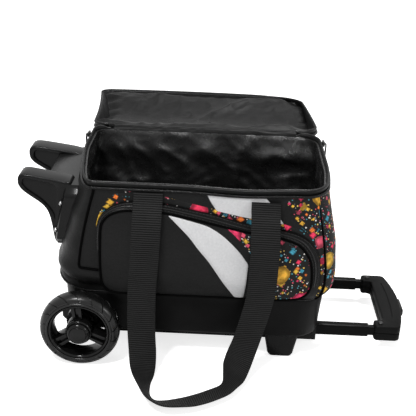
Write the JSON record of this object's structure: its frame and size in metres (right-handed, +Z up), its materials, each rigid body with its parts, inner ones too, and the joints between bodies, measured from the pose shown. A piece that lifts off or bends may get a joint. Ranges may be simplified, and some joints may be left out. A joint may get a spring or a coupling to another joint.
{
  "type": "wheeled bowling ball bag",
  "caption": "Wheeled bowling ball bag lying open: fabric body on a moulded base with wheels, tip stand, telescopic pull handle, front pocket, hinged lid and carry straps.",
  "frame": {"origin": "on the floor under the middle of the bounding box, lid open and handle partly out", "axes": "+Z up, +X from the wheels to the pull handle, -Y the pocket side, +Y where the lid is thrown back"},
  "size_m": [0.56, 0.5808, 0.2695],
  "materials": {
    "shell_cloth": "black woven polyester, matte",
    "print_cloth": null,
    "lining_nylon": "thin coated nylon with a soft sheen",
    "webbing": "ribbed nylon webbing",
    "zip_tape": "bound zip tape with a slightly glossy edge",
    "base_vinyl": "smooth satin black",
    "moulded_plastic": "satin moulded black",
    "wheel_plastic": "glossy moulded black",
    "tyre_rubber": "satin black rubber",
    "tube_paint": "satin black powder coat",
    "zinc_steel": "zinc plated",
    "cup_foam": "dense dark foam",
    "stiff_board": "stiff board under the lining"
  },
  "bodies": {
    "bag": {"front_panel": "shell_cloth", "back_panel": "shell_cloth", "left_panel": "shell_cloth", "right_panel": "print_cloth", "lining": "lining_nylon", "rim_binding": "zip_tape", "hinge_web": "shell_cloth", "base_tray": "base_vinyl", "base_board": "stiff_board", "ball_cup": "cup_foam", "foot_front": "moulded_plastic", "foot_back": "moulded_plastic", "wheel_bracket_front": "moulded_plastic", "wheel_bracket_back": "moulded_plastic", "axle_front": "zinc_steel", "axle_back": "zinc_steel", "tip_stand": "moulded_plastic", "stand_screw_1": "zinc_steel", "stand_screw_2": "zinc_steel", "stand_screw_3": "zinc_steel", "stand_screw_4": "zinc_steel", "rail_housing": "moulded_plastic", "rail_bezel": "moulded_plastic", "outer_tube_front": "tube_paint", "outer_tube_back": "tube_paint", "pocket": "shell_cloth", "pocket_zip": "zip_tape"},
    "lid": {"lid_panel": "lining_nylon", "lid_band": "shell_cloth", "lid_binding": "zip_tape", "lid_web": "shell_cloth"},
    "wheel_front": {"tyre_front": "tyre_rubber", "rim_front": "wheel_plastic", "bush_front": "wheel_plastic", "hub_cap_front": "wheel_plastic"},
    "wheel_back": {"tyre_back": "tyre_rubber", "rim_back": "wheel_plastic", "bush_back": "wheel_plastic", "hub_cap_back": "wheel_plastic"},
    "handle_middle": {"middle_tube_front": "tube_paint", "middle_tube_back": "tube_paint"},
    "handle_top": {"inner_tube_front": "tube_paint", "inner_tube_back": "tube_paint", "grip_top": "moulded_plastic", "grip_bottom": "moulded_plastic", "grip_screw_front": "zinc_steel", "grip_screw_back": "zinc_steel", "button_spring": "zinc_steel"},
    "release": {"release_button": "moulded_plastic", "push_rod_front": "zinc_steel", "push_rod_back": "zinc_steel"},
    "lock_front": {"lock_pin_front": "zinc_steel"},
    "lock_back": {"lock_pin_back": "zinc_steel"},
    "zip_left": {"zip_slider_left": "zinc_steel"},
    "zip_right": {"zip_slider_right": "zinc_steel"},
    "pull_left": {"zip_pull_left": "moulded_plastic"},
    "pull_right": {"zip_pull_right": "moulded_plastic"},
    "pocket_zip_slider": {"pocket_slider": "zinc_steel"},
    "carry_front": {"strap_front": "webbing"},
    "carry_back": {"strap_back": "webbing"}
  },
  "joints": [
    {"name": "lid_hinge", "type": "hinge", "parent": "bag", "child": "lid", "pos_m": [-0.029, 0.05871, 0.2646], "axis": [1, 0, 0], "range_deg": [0, 183]},
    {"name": "wheel_front_spin", "type": "hinge", "parent": "bag", "child": "wheel_front", "pos_m": [-0.19, -0.19529, 0.055], "axis": [0, 1, 0], "continuous": true},
    {"name": "wheel_back_spin", "type": "hinge", "parent": "bag", "child": "wheel_back", "pos_m": [-0.19, 0.07671, 0.055], "axis": [0, 1, 0], "continuous": true},
    {"name": "handle_middle_slide", "type": "slide", "parent": "bag", "child": "handle_middle", "axis": [1, 0, 0], "range_m": [-0.07, 0.165]},
    {"name": "handle_top_slide", "type": "slide", "parent": "handle_middle", "child": "handle_top", "axis": [1, 0, 0], "range_m": [-0.0075, 0.235]},
    {"name": "button_press", "type": "slide", "parent": "handle_top", "child": "release", "axis": [-1, 0, 0], "range_m": [0, 0.0035], "stiffness_N_per_m": 600, "deforming": ["button_spring"]},
    {"name": "lock_front_slide", "type": "slide", "parent": "handle_top", "child": "lock_front", "axis": [0, 1, 0], "range_m": [0, 0.002]},
    {"name": "lock_back_slide", "type": "slide", "parent": "handle_top", "child": "lock_back", "axis": [0, -1, 0], "range_m": [0, 0.002]},
    {"name": "zip_left_slide", "type": "slide", "parent": "bag", "child": "zip_left", "axis": [0, -1, 0], "range_m": [0, 0.135]},
    {"name": "zip_right_slide", "type": "slide", "parent": "bag", "child": "zip_right", "axis": [0, -1, 0], "range_m": [0, 0.135]},
    {"name": "pull_left_swing", "type": "hinge", "parent": "zip_left", "child": "pull_left", "pos_m": [-0.2107, 0.01071, 0.2643], "axis": [0, 1, 0], "range_deg": [0, 150]},
    {"name": "pull_right_swing", "type": "hinge", "parent": "zip_right", "child": "pull_right", "pos_m": [0.1527, 0.01071, 0.2643], "axis": [0, -1, 0], "range_deg": [0, 150]},
    {"name": "pocket_zip_slide", "type": "slide", "parent": "bag", "child": "pocket_zip_slider", "axis": [-0.9445, 0, 0.3285], "range_m": [0, 0.135]},
    {"name": "strap_front_swing", "type": "hinge", "parent": "bag", "child": "carry_front", "pos_m": [-0.029, -0.17459, 0.252], "axis": [-1, 0, 0], "range_deg": [0, 130]},
    {"name": "strap_back_swing", "type": "hinge", "parent": "bag", "child": "carry_back", "pos_m": [-0.029, 0.05601, 0.215], "axis": [1, 0, 0], "range_deg": [0, 60]}
  ],
  "couplings": [
    {"joint": "lock_front_slide", "follows": "button_press", "ratio": 0.55},
    {"joint": "lock_back_slide", "follows": "button_press", "ratio": 0.55}
  ]
}
